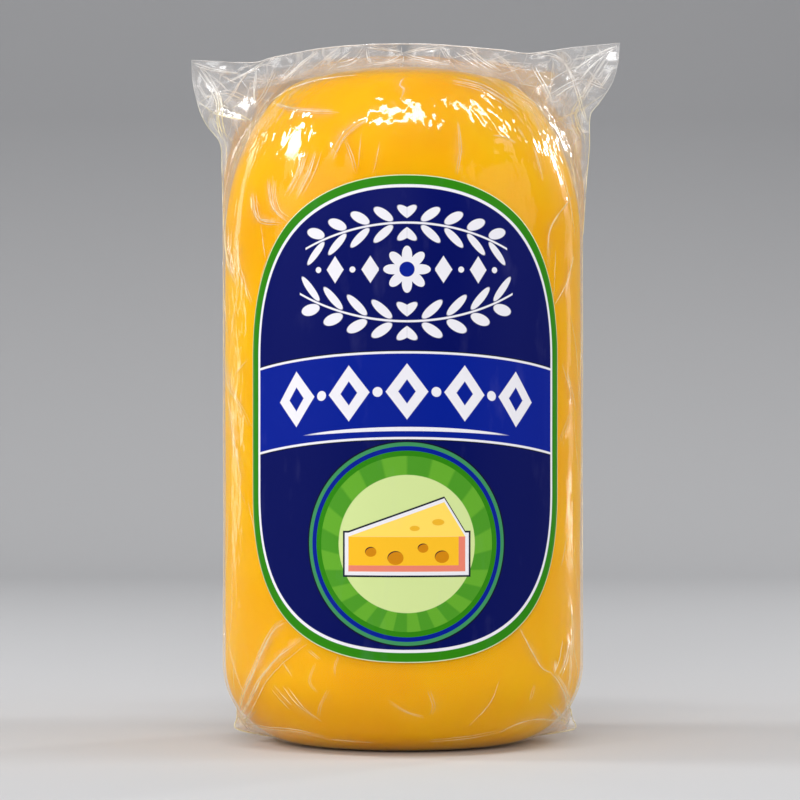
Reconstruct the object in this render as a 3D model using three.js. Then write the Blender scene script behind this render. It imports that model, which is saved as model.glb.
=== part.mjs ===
// A provolone cheese in its clear, heat-shrunk bag, standing on its flat end, with a large label on the front.
// The cheese was pressed in a mould: a straight barrel with a small rounding at the base and a long, soft
// shoulder under a shallow dome. The bag is a tube of film, closed straight across at both ends, so it hugs the
// barrel and leaves a flat flap over the top with an ear at each end of it, and two small ears at the floor.
// Millimetres, +Z up. The origin is the centre of the base, and the label faces -Y.
import * as THREE from "three";

// Barrel, measured over the film
const barrelRadius = 50;
const baseRounding = 21.7;
const shoulderFoot = 141;
const shoulderRise = 42.9;
const shoulderReach = 23.4; // how far the shoulder's curve comes in from the barrel
const shoulderFullness = 1.64; // exponent of the shoulder's curve, where 2 is an ellipse
const domeRise = 3.1;

// Film above the cheese
const tentFoot = 184.6; // where the film leaves the dome
const flapFoot = 190; // where front and back film meet
const flapTop = 193; // mean height of the cut edge
const flapHalf = 0.6; // half the flap's thickness
const tentHollow = 2.5; // 1 draws the tent straight, more hollows it
const liftFoot = 168; // below this the rings are level, above it they follow the cut edge
const pinch = 2; // the power of the film's curve from an ear's tip to the cheese
const earTipRound = 0.9;

// Height of the bag's cut edge across the bag, as [x, z]
const cutEdge = curveThrough([
  [-59.1, 190.2],
  [-47, 189.6],
  [-37, 191],
  [-23, 193.5],
  [0, 194.7],
  [13, 194.1],
  [27, 192.4],
  [38, 192.1],
  [52, 193.8],
  [60.3, 194.4],
]);

// Reach of the bag from its axis at each side, as [z, reach]
const upperEarLeft = curveThrough([
  [142, 50],
  [159, 50.5],
  [166.7, 51.1],
  [171.5, 54.7],
  [176, 56.9],
  [184.3, 58.9],
  [190.2, 59.1],
]);
const upperEarRight = curveThrough([
  [136, 50],
  [153.6, 51],
  [165, 51.9],
  [174.6, 52.2],
  [177.4, 54.4],
  [182.9, 58],
  [188.5, 59.7],
  [194.4, 60.3],
]);
const lowerEar = curveThrough([
  [0, 29.5],
  [1.6, 41],
  [3, 45.6],
  [4.4, 47.4],
  [6.5, 46.8],
  [9, 46.1],
]);
const lowerEarTop = 9;

// How far the free film leans out of the bag's middle plane, positive to the back
const leanFoot = 150;
const leftEarLean = 4;
const rightEarLean = -3;
const flapWave = 1.2;
const flapWaveLength = 44;

// Shallow pleats round the shoulder, where the film had to shrink most
const pleatDepth = 0.7;
const pleatCount = 8;
const pleatUnevenness = 2.1; // radians
const pleatFoot = 148;
const pleatTop = 182;

// Label
const labelBottom = 25.5;
const labelTop = 154.3;
const labelLowerBend = 71; // the sides run straight from here
const labelUpperBend = 105.5; // to here
const labelHalfWidth = 48; // measured along the curved surface
const labelLowerFullness = 2.35;
const labelUpperFullness = 2.2;
const labelGap = 0.3;
const labelThickness = 0.4;
const labelMargin = 5; // film next to the label that stays smooth
const labelBluntEnd = 1.5;

// How finely the surfaces are cut
const lowerRings = [0, 0.7, 1.6, 2.6, 3.6, 4.6, 5.8, 7.2, 9, 12, 16];
const barrelRings = 11;
const shoulderRings = 17;
const tentRings = 6;
const flapRings = 2;
const arcSteps = 60;
const quarterSteps = 22;
const tipCrowding = 1.4; // 1 spaces a section's points evenly, more brings them towards the ears
const labelRows = 26;
const labelColumns = 18;

// A smooth function through points [x, y] sorted by x. It is constant outside them.
function curveThrough(points) {
  const slopeAt = (i) => {
    const [a, b] = [points[Math.max(i - 1, 0)], points[Math.min(i + 1, points.length - 1)]];
    return (b[1] - a[1]) / (b[0] - a[0]);
  };
  return (x) => {
    if (x <= points[0][0]) return points[0][1];
    const next = points.findIndex((p) => p[0] > x);
    if (next < 0) return points[points.length - 1][1];
    const [x0, y0] = points[next - 1];
    const [x1, y1] = points[next];
    const span = x1 - x0;
    const t = (x - x0) / span;
    return (
      y0 * (1 + 2 * t) * (1 - t) ** 2 +
      y1 * t * t * (3 - 2 * t) +
      span * (slopeAt(next - 1) * t * (1 - t) ** 2 + slopeAt(next) * t * t * (t - 1))
    );
  };
}

// Radius of the wrapped cheese at a height.
function barrelAt(z) {
  if (z < baseRounding) {
    const down = baseRounding - z;
    return barrelRadius - baseRounding + Math.sqrt(baseRounding ** 2 - down ** 2);
  }
  if (z <= shoulderFoot) return barrelRadius;
  const up = (z - shoulderFoot) / shoulderRise;
  const crown = barrelRadius - shoulderReach;
  if (up < 1) return crown + shoulderReach * (1 - up ** shoulderFullness) ** (1 / shoulderFullness);
  return crown * Math.sqrt(Math.max(0, 1 - (z - shoulderFoot - shoulderRise) / domeRise));
}

// Half the bag's depth at its middle: the cheese, then the tent of film over it, then the flap.
function depthAt(z) {
  if (z <= tentFoot) return barrelAt(z);
  const up = Math.min(1, (z - tentFoot) / (flapFoot - tentFoot));
  return flapHalf + (barrelAt(tentFoot) - flapHalf) * (1 - up) ** tentHollow;
}

const liftAt = (z) => THREE.MathUtils.smoothstep(z, liftFoot, flapTop);

// Reach of the bag at one side, -1 for the left and 1 for the right.
function reachAt(z, side) {
  if (z < lowerEarTop) return Math.max(barrelAt(z), lowerEar(z));
  if (z < shoulderFoot) return barrelAt(z);
  const tipHeight = z + liftAt(z) * (cutEdge(side * Infinity) - flapTop);
  return Math.max(depthAt(z), side < 0 ? upperEarLeft(tipHeight) : upperEarRight(tipHeight));
}

// A quarter of the bag's section, from the ear's tip to the middle, with its points closest at the tip.
function quarterSection(depth, reach) {
  const outline = [];
  let touch = depth; // where the film meets the cheese
  if (reach - depth > 0.05) {
    const root = Math.sqrt(reach ** 2 + 4 * (pinch - 1) * pinch * depth ** 2);
    touch = Math.min(depth, (root - reach) / (2 * (pinch - 1)));
    const high = Math.sqrt(depth ** 2 - touch ** 2);
    const flat = Math.min(flapHalf, high);
    for (let i = 0; i <= arcSteps; i++) {
      const share = i / arcSteps;
      const inward = (reach - touch) * share;
      const edge = Math.min(1, inward / earTipRound);
      outline.push([reach - inward, flat * edge + (high - flat) * share ** pinch]);
    }
  }
  const start = Math.acos(Math.min(1, touch / depth));
  for (let i = outline.length ? 1 : 0; i <= arcSteps; i++) {
    const angle = start + (Math.PI / 2 - start) * (i / arcSteps);
    outline.push([depth * Math.cos(angle), depth * Math.sin(angle)]);
  }
  const path = new THREE.CurvePath();
  for (let i = 1; i < outline.length; i++) {
    path.add(new THREE.LineCurve(new THREE.Vector2(...outline[i - 1]), new THREE.Vector2(...outline[i])));
  }
  const shares = Array.from({ length: quarterSteps + 1 }, (_, i) => (i / quarterSteps) ** tipCrowding);
  return shares.map((share) => path.getPoint(share));
}

// Half the label's width at a height.
function labelHalfAt(z) {
  const upper = z > labelUpperBend;
  const bend = upper ? labelUpperBend : labelLowerBend;
  const end = upper ? labelTop : labelBottom;
  const fullness = upper ? labelUpperFullness : labelLowerFullness;
  if (!upper && z >= bend) return labelHalfWidth;
  const along = Math.min(1, Math.abs((z - bend) / (end - bend)));
  return labelHalfWidth * (1 - along ** fullness) ** (1 / fullness);
}

// How deep the film is drawn in at a point of the shoulder. It is smooth round the label.
function pleatAt(angle, z) {
  const height = (z - pleatFoot) / (pleatTop - pleatFoot);
  if (height <= 0 || height >= 1) return 0;
  const fromFront = Math.abs(THREE.MathUtils.euclideanModulo(angle + Math.PI * 1.5, 2 * Math.PI) - Math.PI);
  const clear = fromFront * barrelRadius - labelHalfAt(z - labelMargin) - labelMargin;
  const shown = z < labelTop + labelMargin ? THREE.MathUtils.smoothstep(clear, 0, labelMargin) : 1;
  const fold = Math.sin(pleatCount * angle + pleatUnevenness * Math.sin(3 * angle)) ** 2;
  return pleatDepth * fold * shown * Math.sin(Math.PI * height) ** 2;
}

// One closed ring of the bag at a level, anticlockwise from the right-hand ear.
function ringAt(level) {
  const depth = depthAt(level);
  const left = quarterSection(depth, reachAt(level, -1));
  const right = quarterSection(depth, reachAt(level, 1));
  const leaning = THREE.MathUtils.smoothstep(level, leanFoot, flapTop);
  const waving = THREE.MathUtils.smoothstep(level, tentFoot, flapTop);
  const steps = quarterSteps;
  return Array.from({ length: 4 * steps }, (_, k) => {
    const quarter = Math.floor(k / steps);
    const along = k % steps;
    const side = quarter === 0 || quarter === 3 ? 1 : -1;
    const front = quarter > 1 ? -1 : 1;
    const fromTip = quarter % 2 ? steps - along : along;
    const flat = (side > 0 ? right : left)[fromTip];
    const x = side * flat.x;
    const out = THREE.MathUtils.smoothstep(Math.abs(x), depth, reachAt(level, side) + 0.01);
    const lean = out * (side > 0 ? rightEarLean : leftEarLean) * leaning;
    const wave = waving * flapWave * Math.sin((2 * Math.PI * x) / flapWaveLength);
    const scale = 1 - pleatAt(Math.atan2(front * flat.y, x), level) / depth;
    const z = level + liftAt(level) * (cutEdge(x) - flapTop);
    return new THREE.Vector3(x * scale, front * flat.y * scale + lean + wave, z);
  });
}

// Heights of the rings, closer together where the film curves most.
function levels() {
  const spread = (from, to, count) =>
    Array.from({ length: count }, (_, i) => from + ((to - from) * i) / count);
  return [
    ...lowerRings,
    ...spread(baseRounding, shoulderFoot, barrelRings),
    ...spread(shoulderFoot, tentFoot, shoulderRings),
    ...spread(tentFoot, flapFoot, tentRings),
    ...spread(flapFoot, flapTop, flapRings),
    flapTop,
  ];
}

// A closed surface over rings of equal length. Its two ends are closed by strips from each point k of the end
// ring's first half to the point across the ring, partner(k).
function skinOver(rings, partner) {
  const points = rings.flat();
  const count = rings[0].length;
  const index = [];
  const apart = (i, j) => points[i].distanceTo(points[j]);
  const quad = (a, b, c, d) => {
    const split = apart(a, c) < apart(b, d) ? [[a, b, c], [a, c, d]] : [[a, b, d], [b, c, d]];
    index.push(...split.filter((face) => new Set(face).size === 3).flat());
  };
  for (let i = 0; i + 1 < rings.length; i++) {
    for (let k = 0; k < count; k++) {
      const next = (k + 1) % count;
      const [low, high] = [i * count, (i + 1) * count];
      quad(low + k, low + next, high + next, high + k);
    }
  }
  const last = (rings.length - 1) * count;
  for (let k = 0; k + 1 <= partner(k + 1); k++) {
    quad(partner(k), partner(k + 1), k + 1, k);
    quad(last + k, last + k + 1, last + partner(k + 1), last + partner(k));
  }
  return new THREE.BufferGeometry().setFromPoints(points).setIndex(index);
}

// The bag: point k of a ring faces the point behind or before it, across the line from ear to ear.
function bagGeometry() {
  const count = 4 * quarterSteps;
  return skinOver(levels().map(ringAt), (k) => (count - k) % count);
}

// The label: rings round a thin, curved plate, each along its outside from the left and back along its inside.
function labelGeometry() {
  const across = Array.from({ length: labelColumns + 1 }, (_, i) => (2 * i) / labelColumns - 1);
  const rings = Array.from({ length: labelRows + 1 }, (_, row) => {
    const share = (1 - Math.cos((Math.PI * row) / labelRows)) / 2;
    const z = labelBottom + (labelTop - labelBottom) * share;
    const half = Math.max(labelHalfAt(z), labelBluntEnd);
    const point = (side, offset) => {
      const angle = (half * side) / barrelRadius;
      const radius = barrelAt(z) + labelGap + offset;
      return new THREE.Vector3(radius * Math.sin(angle), -radius * Math.cos(angle), z);
    };
    return [...across.map((side) => point(side, labelThickness)), ...across.map((side) => point(-side, 0))];
  });
  return skinOver(rings, (k) => rings[0].length - 1 - k);
}

const wrappedCheese = new THREE.MeshStandardMaterial({ color: 0xf4b320, roughness: 0.25, metalness: 0 });
const printedPaper = new THREE.MeshStandardMaterial({ color: 0x101c6a, roughness: 0.4, metalness: 0 });

function named(name, geometry, material) {
  geometry.computeVertexNormals();
  const mesh = new THREE.Mesh(geometry, material);
  mesh.name = name;
  return mesh;
}

const provolone = new THREE.Group();
provolone.name = "provolone";
provolone.add(named("bag", bagGeometry(), wrappedCheese));
provolone.add(named("label", labelGeometry(), printedPaper));

export default provolone;
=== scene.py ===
# %% [markdown]
# # A provolone cheese in its clear bag
# A whole cheese is pressed in a mould, slid into a tube of clear film, and dipped in hot water, which
# shrinks the film tight. A large printed label is then stuck on the front. This lesson dresses a plain solid
# of it with four pieces: the cheese, the film, the film's creases and the label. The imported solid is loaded
# first, because everything has to sit where it says.

# %% Load the solid
import math

import bpy
import numpy as np
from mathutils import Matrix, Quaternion, Vector, noise


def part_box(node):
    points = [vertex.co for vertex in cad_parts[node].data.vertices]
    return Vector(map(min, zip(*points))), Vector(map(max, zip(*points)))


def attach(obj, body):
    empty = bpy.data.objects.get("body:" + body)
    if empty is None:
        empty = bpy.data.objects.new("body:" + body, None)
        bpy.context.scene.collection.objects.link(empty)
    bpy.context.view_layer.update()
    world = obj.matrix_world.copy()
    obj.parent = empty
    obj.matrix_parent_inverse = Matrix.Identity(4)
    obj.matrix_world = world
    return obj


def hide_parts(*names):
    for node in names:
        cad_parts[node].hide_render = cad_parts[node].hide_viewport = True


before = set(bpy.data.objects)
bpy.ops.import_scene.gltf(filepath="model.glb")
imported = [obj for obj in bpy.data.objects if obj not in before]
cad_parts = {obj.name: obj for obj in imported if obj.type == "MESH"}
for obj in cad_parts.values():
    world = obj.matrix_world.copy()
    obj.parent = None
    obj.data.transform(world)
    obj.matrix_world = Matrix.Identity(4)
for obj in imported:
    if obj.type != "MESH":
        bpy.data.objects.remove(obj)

METRES, MILLIMETRES = 0.001, 1000
scene = bpy.context.scene
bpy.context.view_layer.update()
bag_low, bag_high = (np.array(corner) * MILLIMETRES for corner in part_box("bag"))
label_low, label_high = (np.array(corner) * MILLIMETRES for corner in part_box("label"))
print("the solid bag reaches from", bag_low.round(1), "to", bag_high.round(1), "mm")

# %% [markdown]
# ## Sizes
# All working sizes are in millimetres and turned into metres when a mesh is made. The bag's reach and the
# label's height come from the solid. The sizes that shape the barrel and the ears are written out, because a
# mesh can't tell them. The cut edge is points across and up, and an ear is heights with a reach at each.

# %% Sizes in millimetres
BARREL = 50.0
BASE_ROUNDING = 21.7
SHOULDER_FOOT, SHOULDER_RISE, SHOULDER_REACH, SHOULDER_FULLNESS = 141.0, 42.9, 23.4, 1.76
DOME_RISE = 3.7
TENT_FOOT, FLAP_FOOT, FLAP_TOP, LIFT_FOOT = 186.4, 190.0, 193.0, 168.0
TENT_HOLLOW, PINCH = 1.7, 2.0
FLAP_HALF, EAR_TIP_ROUND = 0.18, 0.9
LEAN_FOOT, LEFT_LEAN, RIGHT_LEAN = 150.0, 4.0, -3.0
FLAP_WAVE, FLAP_WAVE_LENGTH = 1.2, 44.0
LOWER_EAR_TOP = 9.0
LEFT_TIP, RIGHT_TIP = -bag_low[0], bag_high[0]
CROWN, FOOT = BARREL - SHOULDER_REACH, BARREL - BASE_ROUNDING

CUT_EDGE = [(-LEFT_TIP, 190.0), (-42, 189.4), (-36, 190.9), (-23, 193.1), (0, 194.2), (13, 193.8),
            (27, 192.3), (34, 191.3), (40, 191.8), (52, 193.5), (RIGHT_TIP, 194.2)]
UPPER_LEFT_EAR = [(142, 50), (159, 50.5), (166.7, 51.1), (171.5, 54.7), (176, 56.9), (184.3, 58.9),
                  (190.2, LEFT_TIP)]
UPPER_RIGHT_EAR = [(136, 50), (153.6, 51), (165, 51.9), (174.6, 52.2), (177.4, 54.4), (182.9, 58),
                   (188.5, 59.7), (194.4, RIGHT_TIP)]
LOWER_LEFT_EAR = [(0, 29.5), (1.4, 38.4), (2.4, 43.0), (3.7, 46.6), (6.4, 46.2), (9, 45.9)]
LOWER_RIGHT_EAR = [(0, 29.5), (1.5, 38.0), (2.3, 43.4), (3.3, 47.8), (6.2, 47.2), (9, 46.6)]

# %% Curves through a few points
def curve_through(points):
    """A smooth function through points sorted by x, which stays level outside them."""
    x, y = np.array(points, float).T
    slopes = np.empty_like(y)
    slopes[1:-1] = (y[2:] - y[:-2]) / (x[2:] - x[:-2])
    slopes[0], slopes[-1] = (y[1] - y[0]) / (x[1] - x[0]), (y[-1] - y[-2]) / (x[-1] - x[-2])

    def value(at):
        at = np.clip(at, x[0], x[-1])
        i = np.clip(np.searchsorted(x, at, side="right") - 1, 0, len(x) - 2)
        span = x[i + 1] - x[i]
        t = (at - x[i]) / span
        straight = y[i] * (1 + 2 * t) * (1 - t) ** 2 + y[i + 1] * t * t * (3 - 2 * t)
        return straight + span * (slopes[i] * t * (1 - t) ** 2 + slopes[i + 1] * t * t * (t - 1))

    return value


def smoothstep(low, high, x):
    """0 up to low, 1 from high on, and a soft rise between them."""
    t = np.clip((x - low) / (high - low), 0, 1)
    return t * t * (3 - 2 * t)


cut_edge = curve_through(CUT_EDGE)
upper_ear = {-1: curve_through(UPPER_LEFT_EAR), 1: curve_through(UPPER_RIGHT_EAR)}
lower_ear = {-1: curve_through(LOWER_LEFT_EAR), 1: curve_through(LOWER_RIGHT_EAR)}

# %% [markdown]
# ## The film's shape as a function
# Film round a barrel, closed straight across, could be blown up by a cloth simulation. A rule gives the same
# form with no waiting and where the solid has it: at each height the section is a circle, and where the bag
# is wider than the cheese, the film leaves the circle and runs in a hollow curve to a sharp edge at each
# side.

# %% The barrel, the tent above it and the ears
def barrel_at(z):
    """Radius of the wrapped cheese at a height."""
    z = np.asarray(z, float)
    down = np.clip(BASE_ROUNDING - z, 0, BASE_ROUNDING)
    foot = FOOT + np.sqrt(BASE_ROUNDING**2 - down**2)
    up = np.clip((z - SHOULDER_FOOT) / SHOULDER_RISE, 0, 1)
    shoulder = CROWN + SHOULDER_REACH * (1 - up**SHOULDER_FULLNESS) ** (1 / SHOULDER_FULLNESS)
    above = np.clip((z - SHOULDER_FOOT - SHOULDER_RISE) / DOME_RISE, 0, 1)
    return np.where(z < BASE_ROUNDING, foot, np.where(above > 0, CROWN * np.sqrt(1 - above), shoulder))


def depth_at(level):
    """Half the bag's depth at its middle: the cheese, then the tent of film, then the flap."""
    up = np.clip((level - TENT_FOOT) / (FLAP_FOOT - TENT_FOOT), 0, 1)
    tent = FLAP_HALF + (barrel_at(TENT_FOOT) - FLAP_HALF) * (1 - up) ** TENT_HOLLOW
    return np.where(level <= TENT_FOOT, barrel_at(level), tent)


def lift_at(level):
    """How far a ring follows the cut edge up and down."""
    return smoothstep(LIFT_FOOT, FLAP_TOP, level)


def reach_at(level, side):
    """Reach of the bag from its axis, with side -1 on the left and 1 on the right."""
    tip = level + lift_at(level) * (cut_edge(side * 100) - FLAP_TOP)
    upper = np.maximum(depth_at(level), upper_ear[side](tip))
    lower = np.maximum(barrel_at(level), lower_ear[side](level))
    return np.where(level < LOWER_EAR_TOP, lower, np.where(level < SHOULDER_FOOT, barrel_at(level), upper))


# %% A point of the smooth film
def smooth_film(angle, level):
    """Points of the unwrinkled film, with the angle 0 at the front and a quarter turn at the right ear."""
    angle, level = np.broadcast_arrays(np.asarray(angle, float), np.asarray(level, float))
    depth = depth_at(level)
    reach = np.where(np.sin(angle) < 0, reach_at(level, -1), reach_at(level, 1))
    x = reach * np.sin(angle)
    across = np.abs(x)
    root = np.sqrt(reach**2 + 4 * (PINCH - 1) * PINCH * depth**2)
    touch = np.minimum(depth, (root - reach) / (2 * (PINCH - 1)))
    high = np.sqrt(np.maximum(depth**2 - touch**2, 0))
    flat = np.minimum(FLAP_HALF, high)
    share = np.clip((reach - across) / np.maximum(reach - touch, 1e-6), 0, 1)
    tent = flat * np.clip((reach - across) / EAR_TIP_ROUND, 0, 1) + (high - flat) * share**PINCH
    half = np.where(across < touch, np.sqrt(np.maximum(depth**2 - across**2, 0)), tent)
    out = smoothstep(depth, reach + 0.01, across)
    lean = out * np.where(x < 0, LEFT_LEAN, RIGHT_LEAN) * smoothstep(LEAN_FOOT, FLAP_TOP, level)
    wave = smoothstep(TENT_FOOT, FLAP_TOP, level) * FLAP_WAVE * np.sin(2 * math.pi * x / FLAP_WAVE_LENGTH)
    y = np.where(np.cos(angle) < 0, half, -half) + lean + wave
    z = level + lift_at(level) * (cut_edge(x) - FLAP_TOP)
    return np.stack([x, y, z], -1), half


# %% [markdown]
# ## Where the film is creased
# Long folds fan out from the four corners, the flap is crossed by sharp folds that meet in points, and
# creases stop at the label, because the label holds the film flat. The folds that show most are listed, as
# points across and up the front. The rest follow rules further down.

# %% Folds of the ears and the flap, which front and back film share
FLAP_FOLDS = [
    [(-57.4, 188.5), (-52.7, 181.3), (-51.5, 177.1), (-51.5, 173.5), (-50.3, 168.7)],
    [(-57.4, 188.8), (-50.4, 186.9), (-45.4, 186.3)], [(-48.8, 183.8), (-41.2, 187.7), (-39.3, 189.3)],
    [(-41.2, 188.5), (-41.5, 181.3), (-41.2, 176.2)], [(-34, 183.2), (-28.7, 189), (-24.2, 192.4)],
    [(-57.4, 178.5), (-52.4, 174.9), (-43.5, 172.4)],
    [(59.8, 193.5), (54.9, 191.9), (50.7, 189.1), (46.8, 186.3)],
    [(59, 192.8), (56.3, 191), (52.1, 187.4), (49.3, 184.1)],
    [(34.5, 190.5), (39.6, 191.6), (43.7, 190.2), (46, 186.9), (47.6, 182.7), (49.3, 177.1), (50.7, 172.9)],
    [(36.5, 188), (38.4, 184.1), (41.5, 177.7)],
    [(41.5, 178.5), (46.5, 181.8), (50.7, 183.2), (54.9, 181.8), (56.3, 181.3)],
    [(54.9, 181.3), (58.2, 186.3)], [(-10.6, 192.7), (-14.2, 188.2), (-18.1, 186.8)],
    [(-10.3, 192.7), (-9.8, 189.6), (-8.6, 188)], [(-10.3, 193), (-2.2, 192.2), (0.3, 191.6)],
    [(0.3, 191.6), (10.3, 193.2)], [(0.3, 191.6), (7.5, 189.1), (13, 188)], [(0.3, 191.6), (-0.3, 187.4)],
    [(0.3, 191.6), (-5, 188.2), (-7.8, 188)], [(14.5, 192.2), (21.5, 186.9)], [(17, 192), (23.5, 186.9)],
    [(20, 191.5), (26, 187)],
]

# %% Creases of the front, of which the bold ones turn milky and catch the lamps
BOLD_CREASES = [
    [(13, 181), (20.5, 179.2), (26, 176.4), (31.5, 173)], [(-34.7, 175.5), (-28.6, 172.8), (-18, 171.3)],
    [(-41, 151.2), (-39.3, 143.8), (-33.8, 142.5)], [(-36, 154), (-34.5, 146), (-31.2, 143)],
    [(-23.4, 161.5), (-25.2, 155.8), (-28.6, 149.2)], [(-25.8, 162), (-27.8, 155.5), (-30.8, 150.4)],
    [(-10, 170.2), (-14, 167.5), (-16.1, 165.4), (-18, 162.2), (-19.3, 159.6)],
    [(-48.9, 143), (-47.8, 133.7), (-45.5, 127.6)],
    [(-26, 32.1), (-30.5, 28.4), (-33, 26.3), (-37.8, 20.3), (-39.7, 16.5), (-45.5, 5)],
    [(-29.6, 36.3), (-33.8, 33.7), (-37, 28.5), (-40.6, 20.1), (-42.6, 15.6), (-44.8, 9)],
    [(44.8, 29.5), (43.6, 24), (42, 20.4)], [(40, 21.3), (42.7, 17.6), (44.9, 12), (46.2, 6.5)],
    [(-46.4, 3.9), (-43.6, 6.6), (-40.5, 11)], [(46.4, 3.9), (43.4, 6.8), (40.2, 11.6)],
]
CLEAR_CREASES = [
    [(0.6, 181.5), (-0.8, 179.5), (0.4, 178), (-0.4, 175.5)],
    [(-36.4, 177), (-30.1, 180.2), (-22.4, 181.9), (-12.5, 182.5)],
    [(28.7, 180.7), (36.5, 176.4), (42, 170.9)], [(45.6, 40), (46.3, 32), (45.6, 24), (45, 15)],
    [(-45.2, 138.8), (-43.8, 130), (-40.6, 121)], [(-49.1, 107), (-48, 99.5), (-44, 92.6), (-41.8, 88)],
    [(-48, 96), (-46.2, 85.4), (-43.8, 73.3)], [(46.3, 151), (39.4, 141), (38.9, 130.2)],
    [(46.7, 134.4), (44, 125.8), (40.3, 119.8)], [(43, 105), (44.6, 99.9), (46.3, 93.2)],
    [(-16.1, 165.4), (-14, 159.6), (-12.7, 154.8)],
    [(-48.2, 153.7), (-45.6, 161.5), (-42.3, 167.6), (-38.5, 174), (-34.8, 178.6)],
    [(41.5, 171), (44.5, 165), (46.8, 158), (48.3, 150)], [(34.9, 163.8), (36.4, 159), (37.6, 154)],
    [(23.8, 165.5), (26.8, 165.2), (29.9, 163.7)], [(14.3, 169.4), (14.8, 160.9), (13.8, 154.8)],
    [(30.6, 35), (32.7, 30.9), (35, 26.4), (37.5, 22.6), (40, 21.3)], [(-34.6, 18.5), (-29.6, 13.2)],
    [(-32.2, 18.6), (-28.3, 13.8), (-23.3, 9.6)], [(46.4, 5), (37.5, 8.4), (31.5, 8.1), (25.7, 5.7)],
    [(-45.9, 4.5), (-29.8, 5.4), (-20, 3.9)], [(41, 25), (40.4, 21.5)],
]
FAINT_CREASES = [
    [(-11.1, 166.2), (-11.4, 160.9), (-11.9, 156.2)], [(-6.1, 163.6), (-7.4, 157), (-8.2, 154.6)],
    [(30.8, 169), (31.2, 167.4), (32.3, 165.6)], [(-35.1, 155.3), (-34.9, 151.6), (-33.9, 147)],
    [(-39.9, 150.1), (-38.6, 147)], [(-38.3, 142), (-37, 133)], [(-41.8, 106), (-46, 101.6)],
    [(46.2, 91.6), (42, 82.5)], [(-32.3, 25.3), (-29.4, 21.1)], [(-25.5, 28.5), (-22.3, 25.8)],
    [(-23, 25.2), (-24.6, 20), (-22.5, 17.2)], [(-16.8, 27.1), (-18, 23.7), (-17.9, 21.3)],
    [(-19.4, 17.8), (-21.5, 13.5), (-22.3, 10.1)], [(-48, 29), (-46, 22.5), (-43, 15)],
    [(25.7, 20.5), (23.1, 14.2), (17.6, 8)], [(-4, 15), (1.5, 11.8), (5.5, 10.6)],
    [(7, 18.5), (8.4, 14), (7.6, 11.5)], [(35.5, 18.6), (34.1, 14)], [(25.7, 5.7), (17.8, 4.4), (7, 3.6)],
    [(-20, 3.9), (-8.7, 3.4)],
]
front_creases = len(BOLD_CREASES + CLEAR_CREASES + FAINT_CREASES)
print(len(FLAP_FOLDS), "folds in the flap and", front_creases, "creases on the front")

# %% [markdown]
# ## Folds as height over the film
# A fold is a low ridge along a line: the nearest distance to the line gives the height at each point of the
# film, and it fades towards the line's ends. The free film of the flap also crumples, by a noise that only
# knows the place across and up, so that front and back film move together and never cross. Two numbers are
# kept for each point, for the film's finish: how free it hangs and how worn it is.

# %% Distance to a line of points, and soft noise
LINE_END, SEED_SHIFT = 0.02, (17.3, 5.9, 11.1)


def ridge(points, line, width):
    """1 on the line, falling to 0 over about the width, and fading to nothing at the line's ends."""
    line = np.array(line, float)
    spans = np.linalg.norm(np.diff(line, axis=0), axis=1)
    ends = np.concatenate([[0], np.cumsum(spans)])
    nearest = np.full(len(points), np.inf)
    along = np.zeros(len(points))
    for start, stop, before, span in zip(line[:-1], line[1:], ends, spans):
        t = np.clip(((points - start) @ (stop - start)) / span**2, 0, 1)
        gap = np.linalg.norm(points - start - t[:, None] * (stop - start), axis=1)
        closer = gap < nearest
        nearest = np.where(closer, gap, nearest)
        along = np.where(closer, (before + t * span) / ends[-1], along)
    taper = np.sqrt(np.clip(np.sin(math.pi * np.clip(along, LINE_END, 1 - LINE_END)), 0, 1))
    return taper / (1 + (nearest / width) ** 2)


def lumps(points, size, seed):
    """Soft noise between about -1 and 1 with lumps of a size in mm."""
    shift = Vector([seed * part for part in SEED_SHIFT])
    return np.array([noise.noise(Vector(p) / size + shift) for p in points.reshape(-1, 3)])


# %% The wrinkled film
FREE_GAP, TOGETHER_DEPTH, BASE_HOLD = (0.2, 4.0), (2, 14), (0, 3)
FOLD_WIDTH, FOLD_HEIGHT, FOLD_LIMIT, MIDDLE_FOLDS = 1.1, 0.9, 1.3, 22
FIRST_FOLD_WEAR, FOLD_WEAR = 0.9, 0.4
CREASE_WIDTH, CREASE_HEIGHT, CREASE_WEAR_POWER, SWELL_LIMIT = 1.0, 0.35, 1.5, 0.5
CREASE_RANKS = ((1.0, BOLD_CREASES), (0.6, CLEAR_CREASES), (0.3, FAINT_CREASES))
CRUMPLE_SIZE, FINE_CRUMPLE_SIZE, CRUMPLE_HEIGHT = 17.0, 17.0 / 2.2, 1.3
SLACK_SIZE, SLACK_HEIGHT, SLACK_STRETCH = 22.0, 0.16, (1, 1, 0.6)
EAR_WEAR, EAR_WEAR_TOP, EAR_WEAR_GAP = 0.9, 12.0, (0.4, 2.5)


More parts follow.
